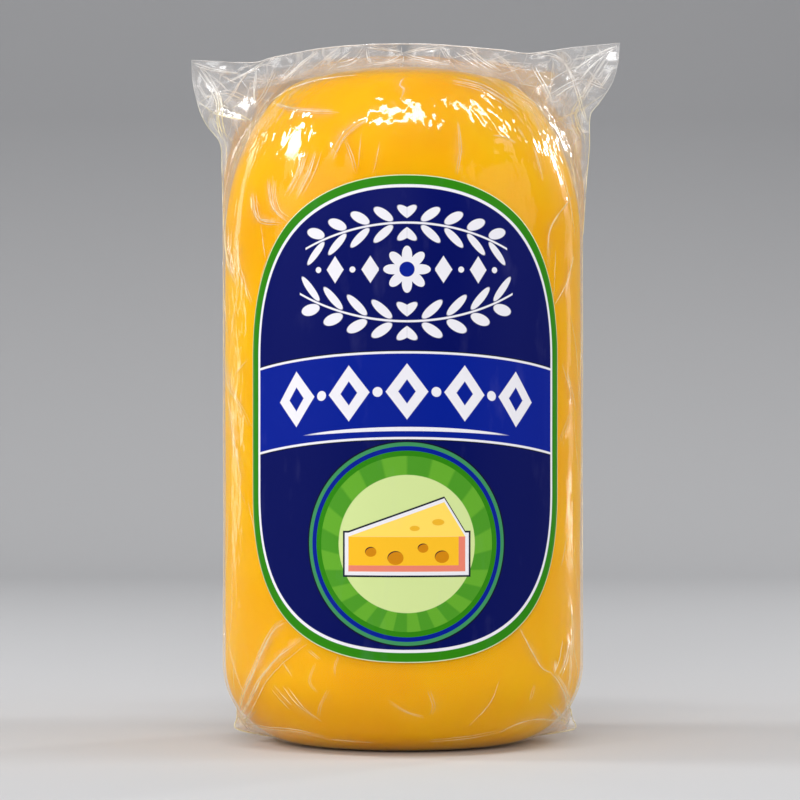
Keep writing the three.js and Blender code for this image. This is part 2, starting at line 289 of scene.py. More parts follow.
def film_at(angle, level):
    """Points of the finished film, how free it hangs, from 0 on the cheese to 1 in the air, and how worn."""
    points, half = smooth_film(angle, level)
    shape = points.shape
    points, half = points.reshape(-1, 3), half.ravel()
    gap = np.hypot(points[:, 0], points[:, 1]) - barrel_at(points[:, 2])
    free = smoothstep(*FREE_GAP, gap)
    together = 1 - smoothstep(*TOGETHER_DEPTH, half)
    worn = EAR_WEAR * smoothstep(*EAR_WEAR_GAP, gap) * (points[:, 2] < EAR_WEAR_TOP)
    across_up = points[:, [0, 2]]
    push = np.zeros(len(points))
    for i, fold in enumerate(FLAP_FOLDS):
        near = ridge(across_up, fold, FOLD_WIDTH)
        way = 1 if abs(fold[0][0]) < MIDDLE_FOLDS else (-1) ** i
        push += way * FOLD_HEIGHT * near
        worn = np.maximum(worn, (FIRST_FOLD_WEAR if i == 0 else FOLD_WEAR) * near * free)
    flat = points * (1, 0, 1)
    crumple = 1 - 2 * np.abs(lumps(flat, CRUMPLE_SIZE, 1)) - np.abs(lumps(flat, FINE_CRUMPLE_SIZE, 2))
    push = (np.clip(push, -FOLD_LIMIT, FOLD_LIMIT) + CRUMPLE_HEIGHT * (crumple - 0.5)) * free * together
    swell = SLACK_HEIGHT * lumps(points * SLACK_STRETCH, SLACK_SIZE, 3) * (1 - free)
    front = points[:, 1] < 0
    turned = across_up * np.where(front, 1, -1)[:, None] ** [1, 0]
    for share, creases in CREASE_RANKS:
        for crease in creases:
            near = share * ridge(turned, crease, CREASE_WIDTH)
            swell += CREASE_HEIGHT * near * (1 - free)
            worn = np.maximum(worn, near**CREASE_WEAR_POWER)
    swell *= smoothstep(*BASE_HOLD, points[:, 2])
    outward = points[:, :2] / np.maximum(np.linalg.norm(points[:, :2], axis=1), 1)[:, None]
    points[:, :2] += outward * np.minimum(swell, SWELL_LIMIT)[:, None]
    points[:, 1] += push
    return points.reshape(shape), free.reshape(shape[:-1]), worn.reshape(shape[:-1])



def on_front(across_up):
    """The angle and the ring level of points given as across and up the front."""
    x, z = np.array(across_up, float).T
    level = z.copy()
    for _ in range(4):
        level = z - lift_at(level) * (cut_edge(x) - FLAP_TOP)
    level = np.clip(level, 0.05, FLAP_TOP)
    reach = np.where(x < 0, reach_at(level, -1), reach_at(level, 1))
    return np.arcsin(np.clip(x / reach, -0.999, 0.999)), level


# %% Meshes from rings
def ring_faces(rows, count):
    """Four-sided faces between rings that lie one above the other."""
    faces = []
    for low in range(0, (rows - 1) * count, count):
        high = low + count
        for k in range(count):
            after = (k + 1) % count
            faces.append((low + k, low + after, high + after, high + k))
    return faces


def skin(rings, partner):
    """Points and faces of a closed surface over rings, with ends closed by strips from k to partner(k)."""
    rows, count = rings.shape[:2]
    faces = ring_faces(rows, count)
    last, k = (rows - 1) * count, 0
    while k + 1 <= partner(k + 1):
        for base, flip in ((0, True), (last, False)):
            corners = [base + corner for corner in (k, k + 1, partner(k + 1), partner(k))]
            corners = list(dict.fromkeys(corners))
            faces.append(corners[::-1] if flip else corners)
        k += 1
    return rings.reshape(-1, 3), faces


def placed(name, data):
    """A new object in the scene that shows some data, such as a mesh or a lamp."""
    thing = bpy.data.objects.new(name, data)
    scene.collection.objects.link(thing)
    return thing


def mesh_piece(name, points, faces, material):
    """A smooth-shaded piece from points in mm, with its place in its mesh."""
    mesh = bpy.data.meshes.new(name)
    mesh.from_pydata((np.asarray(points) * METRES).tolist(), [], faces)
    mesh.shade_smooth()
    mesh.materials.append(material)
    print(name, "has", sum(len(face) - 2 for face in faces), "triangles")
    return placed(name, mesh)


def point_values(piece, name, values):
    """Stores one number for each point of the piece's mesh."""
    layer = piece.data.attributes.new(name, "FLOAT", "POINT")
    layer.data.foreach_set("value", np.asarray(values, np.float32).ravel())


# %% [markdown]
# ## Materials as expressions
# Node graphs are quick to draw by hand and slow to read. Here each material is a recipe in Python: a wire
# stands for a socket, and arithmetic on wires adds the Math nodes, so a mask reads like a formula.

# %% Wires and recipes
def operator(operation):
    """A Math node as a rule for joining two wires."""
    return lambda wire, other: wire.math(operation, other)


class Wire:
    """A socket of a recipe. Arithmetic on it adds Math nodes."""

    def __init__(self, recipe, socket):
        self.recipe, self.socket = recipe, socket

    def math(self, operation, *others):
        return self.recipe.node("Math", {"operation": operation}, [self, *others])

    __add__, __mul__, __sub__ = operator("ADD"), operator("MULTIPLY"), operator("SUBTRACT")
    __radd__, __rmul__, __truediv__, __pow__ = __add__, __mul__, operator("DIVIDE"), operator("POWER")

    def __rsub__(self, other):
        return self.recipe.node("Math", {"operation": "SUBTRACT"}, [other, self])

    def __abs__(self):
        return self.math("ABSOLUTE")

    def clamp(self):
        return self.recipe.node("Clamp", {}, [self, 0.0, 1.0])


class Recipe:
    """A material that is built up node by node."""

    def __init__(self, name):
        self.material = bpy.data.materials.new(name)
        self.material.use_nodes = True
        self.tree = self.material.node_tree
        self.tree.nodes.clear()

    def node(self, kind, settings=None, inputs=(), output=0):
        """Adds a node, sets its settings, fills its sockets with values or wires, and gives one output."""
        node = self.tree.nodes.new("ShaderNode" + kind)
        for key, value in (settings or {}).items():
            setattr(node, key, value)
        for key, value in inputs.items() if isinstance(inputs, dict) else enumerate(inputs):
            if isinstance(value, Wire):
                self.tree.links.new(value.socket, node.inputs[key])
            elif value is not None:
                node.inputs[key].default_value = value
        return Wire(self, node.outputs[output]) if len(node.outputs) else node

    def mix(self, share, under, over):
        """One colour laid over another."""
        under, over = ((*c, 1) if isinstance(c, tuple) and len(c) == 3 else c for c in (under, over))
        return self.node("Mix", {"data_type": "RGBA"}, {0: share, 6: under, 7: over}, output=2)

    def grain(self, vector, size, detail=2.0, stretch=(1, 1, 1)):
        """Noise with lumps of a size in metres, from 0 to 1."""
        scaled = self.node("VectorMath", {"operation": "MULTIPLY"}, [vector, stretch])
        return self.node("TexNoise", {}, {"Vector": scaled, "Scale": 1 / size, "Detail": detail})

    def place(self):
        return self.node("TexCoord", output=3)

    def part(self, vector, axis):
        return self.node("SeparateXYZ", {}, [vector], output=axis)

    def stored(self, name):
        """A number stored on the points of the piece."""
        return self.node("Attribute", {"attribute_name": name}, output=2)

    def bump(self, height, strength, metres):
        return self.node("Bump", {}, {"Strength": strength, "Distance": metres, "Height": height})

    def finish(self, shader):
        self.node("OutputMaterial", {}, {"Surface": shader})
        return self.material

    def principled(self, inputs):
        return self.finish(self.node("BsdfPrincipled", {}, inputs))


def ink(*colour):
    """A printed or photographed colour, given from 0 to 255, as the linear colour that shaders take."""
    return tuple(c / 255 / 12.92 if c < 11 else ((c / 255 + 0.055) / 1.055) ** 2.4 for c in colour)


# %% [markdown]
# ## The cheese
# The cheese itself is a smooth, waxy, golden block. It could be a spun profile, but a spun one is too
# perfect: a real one is a little out of round, softly uneven, and narrower at its sides, where the flat
# bag's side folds hold the film off it. So the rings are turned by a rule that adds those, and light is let
# into the surface.

# %% Finish of the cheese
GOLD, PALE_GOLD, CURD, PAINTED_SHADE_GOLD = ink(242, 169, 0), ink(247, 189, 0), ink(248, 206, 10), ink(220, 142, 0)
SHADE_TOP, SHADE = 46, 0.22


def cheese_material():
    make = Recipe("golden cheese")
    place = make.place()
    clouds = make.grain(place, 0.03, 3)
    curd = make.grain(place, 0.004, 4, (1, 1, 0.5))
    colour = make.mix((clouds * 2.4 - 0.7).clamp(), GOLD, PALE_GOLD)
    colour = make.mix((curd * 0.2).clamp(), colour, CURD)
    # Painted shade: the gold deepens towards the base, standing in for the light from above falling off down
    # the cheese.
    low = (1 - make.part(place, 2) * MILLIMETRES / SHADE_TOP).clamp()
    colour = make.mix((low * SHADE).clamp(), colour, PAINTED_SHADE_GOLD)
    return make.principled({
        "Base Color": colour, "Roughness": 0.42, "Specular IOR Level": 0.04,
        "Normal": make.bump(curd, 0.15, 0.0006), "Subsurface Weight": 0.3, "Subsurface Scale": 0.003,
        "Subsurface Radius": (1.0, 0.5, 0.1)})


# %% Shape of the cheese
CHEESE_INSET, SIDE_GAP = 0.2, 0.15
LUMP_SIZE, LUMP_HEIGHT, LUMP_SINK = 34, 0.25, 0.8
CHEESE_COLUMNS, BASE_ROWS, TURN_ROWS, SIDE_ROWS, DOME_ROWS = 160, 7, 24, 40, 13
DOME_END = 0.04


def cheese_rings():
    """Rings of the cheese from the middle of its base to the top of its dome, without the two end points."""
    turn = np.linspace(0, math.pi / 2, TURN_ROWS)
    corner = np.stack([FOOT + BASE_ROUNDING * np.sin(turn), BASE_ROUNDING * (1 - np.cos(turn))], 1)
    power = 2 / SHOULDER_FULLNESS
    shoulder = np.stack([CROWN + SHOULDER_REACH * np.cos(turn) ** power,
                         SHOULDER_FOOT + SHOULDER_RISE * np.sin(turn) ** power], 1)
    share = np.linspace(1, DOME_END, DOME_ROWS + 1)[1:]
    dome = np.stack([CROWN * share, SHOULDER_FOOT + SHOULDER_RISE + DOME_RISE * (1 - share**2)], 1)
    base = np.stack([np.linspace(1, FOOT, BASE_ROWS + 1)[:-1], np.zeros(BASE_ROWS)], 1)
    up_side = np.linspace(BASE_ROUNDING, SHOULDER_FOOT, SIDE_ROWS + 2)[1:-1]
    side = np.stack([np.full(SIDE_ROWS, BARREL), up_side], 1)
    radius, height = np.concatenate([base, corner, side, shoulder, dome]).T
    angle = np.linspace(0, 2 * math.pi, CHEESE_COLUMNS, endpoint=False)
    round_it = 1 - SIDE_GAP / BARREL * np.sin(angle) ** 4
    spread = (radius[:, None] * (1 - CHEESE_INSET / BARREL)) * round_it
    height = CHEESE_INSET + height * (1 - 2 * CHEESE_INSET / (SHOULDER_FOOT + SHOULDER_RISE))
    up = np.broadcast_to(height[:, None], spread.shape)
    rings = np.stack([spread * np.sin(angle), -spread * np.cos(angle), up], -1)
    uneven = LUMP_HEIGHT * (lumps(rings, LUMP_SIZE, 5).reshape(spread.shape) - LUMP_SINK)
    rings[..., :2] *= (1 + uneven / np.maximum(spread, 8))[..., None]
    return rings


def turned_piece(name, rings, material):
    """Rings closed at both ends by a fan to their middle."""
    rows, count = rings.shape[:2]
    faces = ring_faces(rows, count)
    ends = [rings[0].mean(0), rings[-1].mean(0)]
    bottom, top, last = rows * count, rows * count + 1, (rows - 1) * count
    faces += [(bottom, (k + 1) % count, k) for k in range(count)]
    faces += [(top, last + k, last + (k + 1) % count) for k in range(count)]
    return mesh_piece(name, np.concatenate([rings.reshape(-1, 3), ends]), faces, material)


cheese = turned_piece("cheese", cheese_rings(), cheese_material())

# %% [markdown]
# ## The film
# Clear film is hard to fake: it is too thin to bend light, it mirrors what is round it, and it is milky
# where it is creased or loose. Here a Transparent shader is mixed with a milky one by how free and how worn
# the film is, the two numbers stored on its points, and with a glossy one by the Fresnel law.

# %% Clear film that is milky in places
CLEAR = (1, 1, 1, 1)


def clear_sheet(make, white, through, milky, mirror, **shine):
    """A finish that is milky and mirrors by two shares. Its milk lets a share of the light through."""
    milk = make.node("MixShader", {}, [
        through, make.node("BsdfDiffuse", {}, {"Color": white}),
        make.node("BsdfTranslucent", {}, {"Color": white})])
    clear = make.node("BsdfTransparent", {}, {"Color": CLEAR})
    sheet = make.node("MixShader", {}, [milky, clear, milk])
    gloss = make.node("BsdfGlossy", {}, {"Color": CLEAR, **shine})
    return make.finish(make.node("MixShader", {}, [mirror, sheet, gloss]))


# %% Finish of the film
# Painted light: where the film lies on the cheese its milk is a warm gold-cream, standing in for the cheese
# glowing through it; loose film keeps a grey-white milk.
GLOW_TINTED_MILK, LOOSE_WHITE = (0.95, 0.84, 0.60), (0.88, 0.86, 0.84)
FREE_MILK, RIM_MILK, WORN_MILK = 0.2, 0.8, 0.4
MIRROR, CROWN_MIRROR, FREE_MIRROR, WORN_MIRROR, MIRROR_LIMIT = 0.42, 1.3, 0.9, 1.5, 0.4
CROWN_FOOT, CROWN_FADE = 158, 9


def film_material():
    make = Recipe("clear shrunk film")
    place = make.place()
    free, worn = make.stored("free"), make.stored("worn")
    crown = ((make.part(place, 2) * MILLIMETRES - CROWN_FOOT) / CROWN_FADE).clamp() * (1 - free)
    tight = (make.grain(place, 0.03, 0) * 3 - 1.2).clamp()
    buckle = make.grain(place, 0.014, 1, (1, 1, 0.55))
    crinkle = abs(make.grain(place, 0.0065, 2, (1, 1, 0.4)) * 2 - 1)
    bump = make.bump(buckle * 0.7 + crinkle * (tight * 0.35 + 0.09 + worn * 0.4 + crown * 0.4), 0.9, 0.001)
    rim = make.node("LayerWeight", {}, {"Blend": 0.35}, output=1) ** 7.0
    cloud = (make.grain(place, 0.006, 2) * 2.4 - 0.7).clamp()
    veins = (1 - abs(make.grain(place, 0.008, 2, (1, 1, 0.6)) * 2 - 1) * 18).clamp()
    milky = free * FREE_MILK * (0.5 + cloud * 0.7 + veins * 1.2) + rim * RIM_MILK + worn * cloud * WORN_MILK
    mirror = make.node("Fresnel", {}, {"IOR": 1.38, "Normal": bump})
    mirror = mirror * (MIRROR + crown * CROWN_MIRROR + free * FREE_MIRROR + worn * WORN_MIRROR)
    return clear_sheet(make, make.mix(free, GLOW_TINTED_MILK, LOOSE_WHITE), 0.45, milky.clamp(),
                       mirror.math("MINIMUM", MIRROR_LIMIT), Roughness=free * 0.08 + 0.09, Normal=bump)


# %% Shape of the film
FILM_COLUMNS = 384
LEVEL_RUNS = ((0, 10, 18), (10, 34, 24), (34, 142, 84), (142, TENT_FOOT, 66))
levels = [np.linspace(low, high, count)[:-1] for low, high, count in LEVEL_RUNS]
levels = np.concatenate([*levels, np.linspace(TENT_FOOT, FLAP_TOP, 26)])
angles = math.pi / 2 + np.linspace(0, 2 * math.pi, FILM_COLUMNS, endpoint=False)
rings, free, worn = film_at(angles[None, :], levels[:, None])
film = mesh_piece("film", *skin(rings, lambda k: (FILM_COLUMNS - k) % FILM_COLUMNS), film_material())
point_values(film, "free", free)
point_values(film, "worn", worn)

# %% [markdown]
# ## The creases
# A crease in shrunk film is a thin welt, a tenth to half a millimetre wide, that catches the light. Hundreds
# of them share one rule, so Geometry Nodes make them: a curve for each crease, and a small ring swept along
# it, thick in the middle and thin at the ends. The curves come from the listed folds, from stars of short
# folds in the flap, from the bag's edges, and round the back from a loose net. All of them break off at the
# label.

# %% The label's outline, which creases keep out of
LABEL_HALF, LABEL_TURN, LABEL_KEEP = 47.5, 1.0, 0.2
LABEL_BOTTOM, LABEL_TOP = label_low[2], label_high[2]
LABEL_ENDS = ((LABEL_TOP, 105.5, 2.2), (LABEL_BOTTOM, 71.0, 2.35))


def label_half_at(z):
    """Half the label's width at a height, measured along the film, and 0 above and below it."""
    shares = []
    for end, bend, fullness in LABEL_ENDS:
        outward = np.clip((np.asarray(z, float) - bend) / (end - bend), 0, 1)
        shares.append((1 - outward**fullness) ** (1 / fullness))
    return LABEL_HALF * np.minimum(*shares)


def clear_of_label(angle, level):
    """True where a point of the film isn't under the label."""
    turned = (np.asarray(angle) + math.pi) % (2 * math.pi) - math.pi
    return np.abs(turned * BARREL - LABEL_TURN) > label_half_at(level) + LABEL_KEEP


# %% Routes along listed lines
STEP, WANDER, STRAND_SIZES = 1.2, 0.05, (0.6, 1.1)
BUNDLES = ((FLAP_FOLDS[:1], 3, 0.7, 0.3), (FLAP_FOLDS, 2, 0.7, 0.2), (BOLD_CREASES, 4, 0.8, 0.11),
           (CLEAR_CREASES, 2, 0.6, 0.09), (FAINT_CREASES, 2, 0.5, 0.05))
draw = np.random.default_rng(11)


def even_steps(route):
    """The same route with a point about every step, bent softly at its corners."""
    route = np.array(route, float)
    along = np.concatenate([[0], np.cumsum(np.linalg.norm(np.diff(route, axis=0), axis=1))])
    count = max(4, int(along[-1] / STEP) + 1)
    want = np.linspace(0, along[-1], count)
    return np.stack([curve_through(list(zip(along, route[:, i])))(want) for i in (0, 1)], 1)


def strands(steps, count, spread, thickness):
    """A bundle of thin creases that wander beside one line."""
    for strand in range(count):
        wander = draw.normal(size=steps.shape).cumsum(0) * WANDER
        wander -= np.linspace(0, 1, len(steps))[:, None] * wander[-1]
        beside = steps + wander + spread * draw.normal(size=2) * (strand > 0)
        yield beside, thickness * draw.uniform(*STRAND_SIZES)


def hand_laid():
    """Front creases and flap folds as routes of angle and level, with a thickness."""
    for lines, count, spread, thickness in BUNDLES:
        for line in lines:
            for route, size in strands(even_steps(line), count, spread, thickness):
                for half_turn in (0, math.pi):
                    yield np.stack(on_front(route), 1) + [half_turn, 0], size


# %% Routes that follow rules
STAR_MIDDLES = [(-52, 181), (-47, 187), (-30, 190), (-10.3, 191.5), (0.3, 190.8), (12, 190), (24, 189.5),
                (36, 188.5), (46, 186.9), (52, 186), (50.5, 180), (-48, 176), (40, 181), (-38, 184)]
SPOKES, STAR_KEEP, STAR_REACH = 5, 0.4, 58
NET_COLUMNS, NET_ROWS, NET_FOOT, NET_PITCH, NET_SKIPPED = 19, 8, 8, 21, 0.35
FRONT_COSINE, LABEL_BAND = 0.35, (45, 120)
CUT_SIZE, FOLD_SIZES = 0.16, ((FLAP_TOP, 0.15), (EAR_WEAR_TOP, 0.22))


def stars():
    """Short straight folds that run out of the points where the flap's long folds meet."""
    for middle in STAR_MIDDLES:
        for spoke in range(SPOKES):
            lean = (spoke + draw.uniform(-0.4, 0.4)) * 2 * math.pi / SPOKES
            length = draw.uniform(3, 11)
            stop = middle + length * np.array([math.sin(lean), 0.7 * math.cos(lean)])
            route = even_steps([middle, stop])
            x, z = route.T
            inside_bag = route[(z < cut_edge(x) - STAR_KEEP) & (np.abs(x) < STAR_REACH)]
            if len(inside_bag) > 3:
                angle, level = on_front(inside_bag)
                yield np.stack([angle + math.pi * draw.integers(2), level], 1), draw.uniform(0.05, 0.13)


def slanting_net():
    """Long steep creases round the sides and the back, which meet in points."""
    for column, row in np.ndindex(NET_COLUMNS, NET_ROWS):
        column, row = column + draw.uniform(-0.3, 0.3), row + draw.uniform(-0.3, 0.3)
        start = np.array([column * 2 * math.pi * BARREL / NET_COLUMNS, NET_FOOT + row * NET_PITCH])
        beside_label = LABEL_BAND[0] < start[1] < LABEL_BAND[1]
        on_bare_front = math.cos(start[0] / BARREL) > FRONT_COSINE and not beside_label
        for slant in (-1, 1):
            if draw.random() < NET_SKIPPED or on_bare_front:
                continue
            length = draw.uniform(8, 30)
            lean = slant * draw.uniform(0.12, 0.55)
            stop = start + length * np.array([math.sin(lean), math.cos(lean)])
            bow = (start + stop) / 2 + draw.normal(size=2) * length * 0.05
            route = even_steps([start, bow, stop])
            route += draw.normal(size=route.shape) * 0.12
            yield route / (BARREL, 1), draw.uniform(0.035, 0.095)


def edges():
    """The bag's cut edge and its two side folds, which are thicker at the lower ears."""
    for front in (0, math.pi):
        sweep = np.linspace(-math.pi / 2, math.pi / 2, 120)
        yield np.stack([front + sweep, np.full(len(sweep), FLAP_TOP)], 1), CUT_SIZE
    for side in (-math.pi / 2, math.pi / 2):
        for top, thickness in FOLD_SIZES:
            rise = np.linspace(0.5, top, 170)
            yield np.stack([np.full(len(rise), side), rise], 1), thickness


# %% The routes as curves on the film
def crease_curves():
    """One curve object with a spline for every stretch of crease that is clear of the label."""
    curve = bpy.data.curves.new("crease routes", "CURVE")
    curve.dimensions = "3D"
    for route, thickness in [*hand_laid(), *stars(), *slanting_net(), *edges()]:
        shown = clear_of_label(*route.T)
        cuts = np.flatnonzero(np.diff(shown.astype(int))) + 1
        for stretch in np.split(np.arange(len(route)), cuts):
            if len(stretch) < 4 or not shown[stretch[0]]:
                continue
            points = film_at(*route[stretch].T)[0]
            spline = curve.splines.new("POLY")
            spline.points.add(len(points) - 1)
            spline.points.foreach_set("co", np.c_[points * METRES, np.ones(len(points))].ravel())
            spline.points.foreach_set("radius", np.full(len(points), thickness, np.float32))
    print(len(curve.splines), "stretches of crease")
    return placed("crease routes", curve)


# %% The node tree that sweeps a tapered ring along each crease
RING_SIDES, SWEEP_SHARE, TAPER_POWER = 5, 0.98, 0.6


def crease_tree(material):
    """A ring swept along each curve, sized by the curve's own radius and by a soft sine along it."""
    tree = bpy.data.node_groups.new("tapered creases", "GeometryNodeTree")
    for name, kind, way in (("Routes", "Geometry", "INPUT"), ("Thickness", "Float", "INPUT"),
                            ("Creases", "Geometry", "OUTPUT")):
        tree.interface.new_socket(name, in_out=way, socket_type="NodeSocket" + kind)
    start, stop = tree.nodes.new("NodeGroupInput"), tree.nodes.new("NodeGroupOutput")
    ring, sweep, along, radius, smooth, dress = (tree.nodes.new("GeometryNode" + kind) for kind in (
        "CurvePrimitiveCircle", "CurveToMesh", "SplineParameter", "InputRadius", "SetShadeSmooth",
        "SetMaterial"))
    turn, sine, soften, size = (tree.nodes.new("ShaderNodeMath") for _ in range(4))
    turn.operation, sine.operation, soften.operation, size.operation = "MULTIPLY", "SINE", "POWER", "MULTIPLY"
    turn.inputs[1].default_value = math.pi * SWEEP_SHARE
    soften.inputs[1].default_value = TAPER_POWER
    ring.inputs["Resolution"].default_value = RING_SIDES
    sweep.inputs["Fill Caps"].default_value = True
    dress.inputs["Material"].default_value = material
    for source, out, target, into in (
            (start, "Thickness", ring, "Radius"), (along, "Factor", turn, 0), (turn, 0, sine, 0),
            (sine, 0, soften, 0), (soften, 0, size, 0), (radius, 0, size, 1), (size, 0, sweep, "Scale"),
            (start, "Routes", sweep, "Curve"), (ring, "Curve", sweep, "Profile Curve"),
            (sweep, "Mesh", smooth, 0), (smooth, 0, dress, 0), (dress, 0, stop, "Creases")):
        tree.links.new(source.outputs[out], target.inputs[into])
    return tree


def plain_mesh(name, source, tree, material, **values):
    """Runs a node tree on an object and keeps the result as a plain mesh piece."""
    modifier = source.modifiers.new("rule", "NODES")
    modifier.node_group = tree
    for socket in tree.interface.items_tree:
        if socket.in_out == "INPUT" and socket.name in values:
            modifier[socket.identifier] = values[socket.name]
    bpy.context.view_layer.update()
    mesh = bpy.data.meshes.new_from_object(source.evaluated_get(bpy.context.evaluated_depsgraph_get()))
    mesh.name = name
    mesh.materials.clear()
    mesh.materials.append(material)
    bpy.data.objects.remove(source)
    print(name, "has", len(mesh.polygons), "faces")
    return placed(name, mesh)


# %% Finish and making of the creases
# Painted light: the creases' white milk is partly the whitening of folded film and partly a painted highlight
# along each ridge. Below 172 mm it is tinted gold, standing in for the cheese glowing through the creases;
# above it stays white.
GLOW_TINTED_CREASE_WHITE, HIGH_WHITE, GLOW_TINT_TOP = (1.0, 0.92, 0.58), (1.0, 0.98, 0.96), 0.172


def crease_material():
    make = Recipe("creased film")
    patchy = (make.grain(make.place(), 0.005, 2) * 2.6 - 0.8).clamp()
    high = ((make.part(make.place(), 2) - GLOW_TINT_TOP) * 100).clamp()
    return clear_sheet(make, make.mix(high, GLOW_TINTED_CREASE_WHITE, HIGH_WHITE), 0.2, patchy * 0.75 + 0.2,
                       patchy * 0.18 + 0.05, Roughness=0.12)


creased = crease_material()
creases = plain_mesh("film_creases", crease_curves(), crease_tree(creased), creased, Thickness=METRES)

# %% [markdown]
# ## The label
# The label is coated paper with round ends, stuck on the outside of the film. Its print could be an image,
# but a drawing by formula stays sharp at any size and can be changed by a number. The flat place of each
# point is its UV map, and a stored number tells how far inside the cut edge it lies, for the border.

# %% Shape of the label
LABEL_COLUMNS, LABEL_ROWS, OUTLINE_POINTS = 96, 150, 900
LABEL_UNDER, LABEL_OVER, LABEL_END_HALF = 0.34, 0.58, 0.8
RIPPLE_SIZE, RIPPLE_HEIGHT = 16, 0.06
UV_SPAN = 200.0


def label_heights(count):
    """Heights up the label, which lie closer together near its ends."""
    return LABEL_BOTTOM + (LABEL_TOP - LABEL_BOTTOM) * (1 - np.cos(np.linspace(0, math.pi, count))) / 2


def label_piece(material):
    """A thin curved sheet over the film, with its flat place and its distance from the cut edge."""
    heights = label_heights(LABEL_ROWS + 1)
    halves = np.maximum(label_half_at(heights), LABEL_END_HALF)
    across = np.linspace(-1, 1, LABEL_COLUMNS + 1)
    flat_u = halves[:, None] * np.concatenate([across, -across])
    flat_v = np.broadcast_to(heights[:, None], flat_u.shape)
    ripple = lumps(np.stack([flat_u, flat_v, 0 * flat_u], -1), RIPPLE_SIZE, 7).reshape(flat_u.shape)
    radius = barrel_at(flat_v) + np.repeat([LABEL_OVER, LABEL_UNDER], len(across)) + RIPPLE_HEIGHT * ripple
    angle = (flat_u + LABEL_TURN) / BARREL
    rings = np.stack([radius * np.sin(angle), -radius * np.cos(angle), flat_v], -1)
    points, faces = skin(rings, lambda k: rings.shape[1] - 1 - k)
    piece = mesh_piece("label_sheet", points, faces, material)
    line = label_heights(OUTLINE_POINTS)
    outline = np.stack([label_half_at(line), line], 1)
    flat = np.stack([np.abs(flat_u).ravel(), flat_v.ravel()], 1)
    inset = np.array([np.hypot(*(outline - point).T).min() for point in flat])
    point_values(piece, "inset", inset)
    corners = np.zeros(len(piece.data.loops), int)
    piece.data.loops.foreach_get("vertex_index", corners)
    uv = np.stack([flat_u.ravel() / UV_SPAN + 0.5, flat_v.ravel() / UV_SPAN], 1)[corners]
    piece.data.uv_layers.new(name="flat").data.foreach_set("uv", uv.astype(np.float32).ravel())
    return piece


# %% Inks of the label
NAVY, ROYAL, GREEN, WHITE = ink(0, 10, 92), ink(0, 28, 140), ink(44, 128, 12), ink(232, 230, 236)
TEAL, LEAF, PALE, LEMON = ink(60, 140, 90), ink(98, 166, 44), ink(206, 222, 150), ink(252, 216, 96)
AMBER, RIND, DARK, PEARL = ink(246, 188, 40), ink(230, 130, 108), ink(10, 16, 40), ink(214, 226, 180)
DEEP_NAVY, RAY, SCUFF = ink(0, 10, 84), ink(74, 148, 36), ink(150, 150, 200)
HOLE, TOP_HOLE = ink(206, 132, 14), ink(236, 178, 44)
EDGE_SOFTNESS = 0.14


# %% [markdown]
# ## The print
# The design is a row of white lozenges with a flower, between two garlands on navy, a royal blue ribbon with
# more lozenges, and a green sunburst with a wedge of cheese. Each shape is a distance in millimetres, below
# zero inside it. Shapes are joined by the smaller distance and cut by the larger one, and a soft step at
# zero makes the mask for an ink.

# %% Shapes as distances
def inside(distance):
    """A mask that is 1 where the distance is below zero, with a soft edge."""
    return (0.5 - distance / EDGE_SOFTNESS).clamp()


def paint(make, colour, *layers):
    """Lays inks over a colour, one after the other, each inside its own distance."""
    for distance, over in layers:
        colour = make.mix(inside(distance), colour, over)
    return colour


def disc(u, v, radius):
    return (u * u + v * v) ** 0.5 - radius


def both(a, b):
    return a.math("MAXIMUM", b)


def either(a, b):
    return a.math("MINIMUM", b)


def repeat(u, pitch):
    """The place within one of a row of equal fields, measured from the field's middle."""
    return ((u / pitch + 0.5).math("FRACT") - 0.5) * pitch


def lozenge(u, v, wide, high):
    return (abs(u) / wide + abs(v) / high - 1) * (wide * 0.7)


LEAF_SLANT, STEM_HALF = math.radians(38), 0.28


def garland(u, v, height, bend, stop, step):
    """A stem that bends up or down towards its ends, with a pair of slanting leaves at every step."""
    side = abs(u)
    off = v - height - side * side * bend
    along, out = repeat(side, step), abs(off) - step * 0.42
    cosine, sine = math.cos(LEAF_SLANT), math.sin(LEAF_SLANT)
    long, wide = along * cosine + out * sine, out * cosine - along * sine
    leaf_half, leaf_length = step * 0.19, step * 0.5
    leaf = ((long / leaf_length) ** 2.0 + (wide / leaf_half) ** 2.0) ** 0.5 * leaf_half - leaf_half
    stem = abs(off) - STEM_HALF
    return both(either(leaf, stem), both(side - stop, 0 - side))


def rosette(u, v, radius, petals):
    angle = v.math("ARCTAN2", u)
    petal = abs((angle * (petals / 2)).math("COSINE")) * (radius * 0.45) + radius * 0.55
    return (u * u + v * v) ** 0.5 - petal


# %% The garlands with the row between them
ROW, ROW_PITCH, ROW_START, ROW_END = 129.2, 9.6, 7.4, 25.4


def leaf_work(make, u, v, colour):
    """Two garlands, and between them a row of lozenges and dots with a flower."""
    leaves = either(garland(u, v, 141.5, -0.0085, 27.9, 6.2), garland(u, v, 115.5, 0.0085, 29.7, 6.6))
    dots = disc(repeat(u + ROW_PITCH / 2, ROW_PITCH), v - ROW, 0.8)
    row = either(lozenge(repeat(u, ROW_PITCH), v - ROW, 2.4, 3.6), dots)
    leaves = either(leaves, both(row, both(abs(u) - ROW_END, ROW_START - abs(u))))
    leaves = either(leaves, rosette(u, v - ROW, 6.2, 8))
    return paint(make, colour, (leaves, WHITE), (disc(u, v - ROW, 2.0), ROYAL))


# %% The medal with a wedge of cheese
MEDAL_MIDDLE, MEDAL = 56.8, 24.6
RAYS, RAYS_BELOW, HALO_SHARE, WEDGE_ABOVE = 14, 7, 0.74, 1.5
WEDGE_HALF, WEDGE_TOP, WEDGE_RISE, WEDGE_FALL = 15.5, 0.4, 0.36, 1.6
FACE_HOLES = ((-9.5, -3.6, 1.5), (-3.0, -5.2, 2.1), (4.2, -2.6, 1.4), (9.2, -4.9, 1.9))
TOP_HOLES = ((2.0, 2.6, 1.3), (8.2, 4.2, 1.6))


